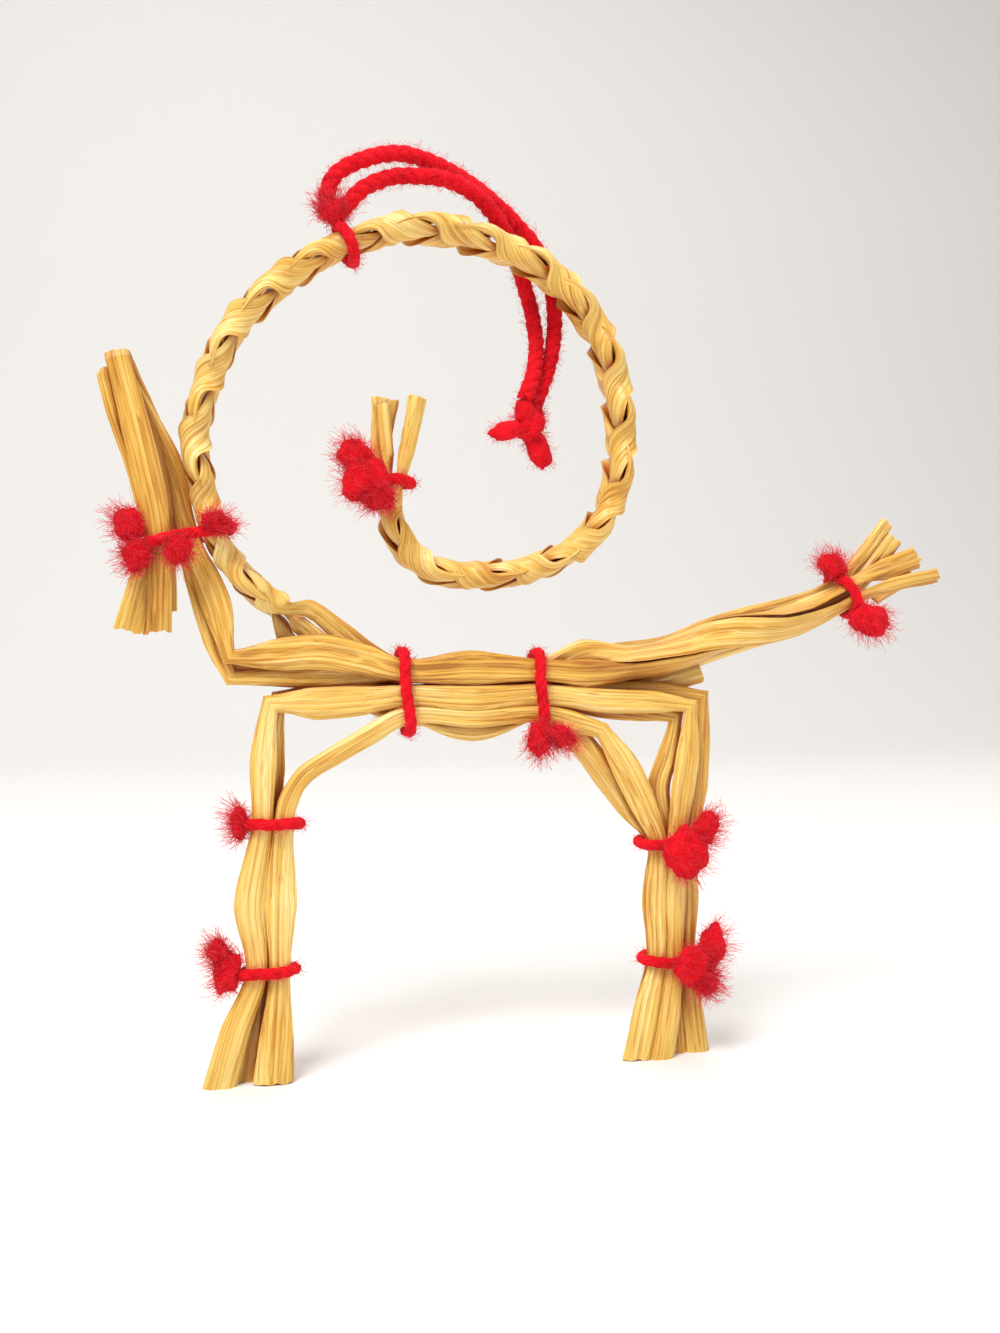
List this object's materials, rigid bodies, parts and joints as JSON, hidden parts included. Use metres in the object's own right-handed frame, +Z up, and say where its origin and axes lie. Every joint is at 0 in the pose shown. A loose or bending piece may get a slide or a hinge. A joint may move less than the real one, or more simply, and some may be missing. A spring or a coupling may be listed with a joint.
{
  "type": "straw goat ornament",
  "caption": "Flat goat of folded and flattened straws tied with red wool yarn, with a large plaited curling horn and a yarn loop to hang it by",
  "frame": {"origin": "middle of the footprint of the goat's box, on the surface its cut straw feet stand on, without the hanging loop", "axes": "+Z up; -X towards the head, +X towards the tail; -Y is the show side with the fluffed knots, +Y the plainer back"},
  "size_m": [0.115, 0.0122, 0.1217],
  "materials": {
    "straw": "natural waxy straw, lightly glossy, with fine lengthwise ribs",
    "yarn": "red wool yarn, matt, twisted and fluffy"
  },
  "bodies": {
    "root": {"head_straw_1": "straw", "head_straw_2": "straw", "head_straw_3": "straw", "leg_straw_1": "straw", "leg_straw_2": "straw", "leg_straw_3": "straw", "brace_straw_1": "straw", "brace_straw_2": "straw", "horn_straw_1": "straw", "horn_straw_2": "straw", "horn_straw_3": "straw", "head_tie": "yarn", "chest_tie": "yarn", "rump_tie": "yarn", "tail_tie": "yarn", "horn_tip_tie": "yarn", "front_knee_tie": "yarn", "front_ankle_tie": "yarn", "hind_knee_tie": "yarn", "hind_ankle_tie": "yarn", "hanger_hitch": "yarn", "hanger_strand_1": "yarn", "hanger_strand_2": "yarn", "hanger_knot": "yarn"}
  },
  "joints": []
}
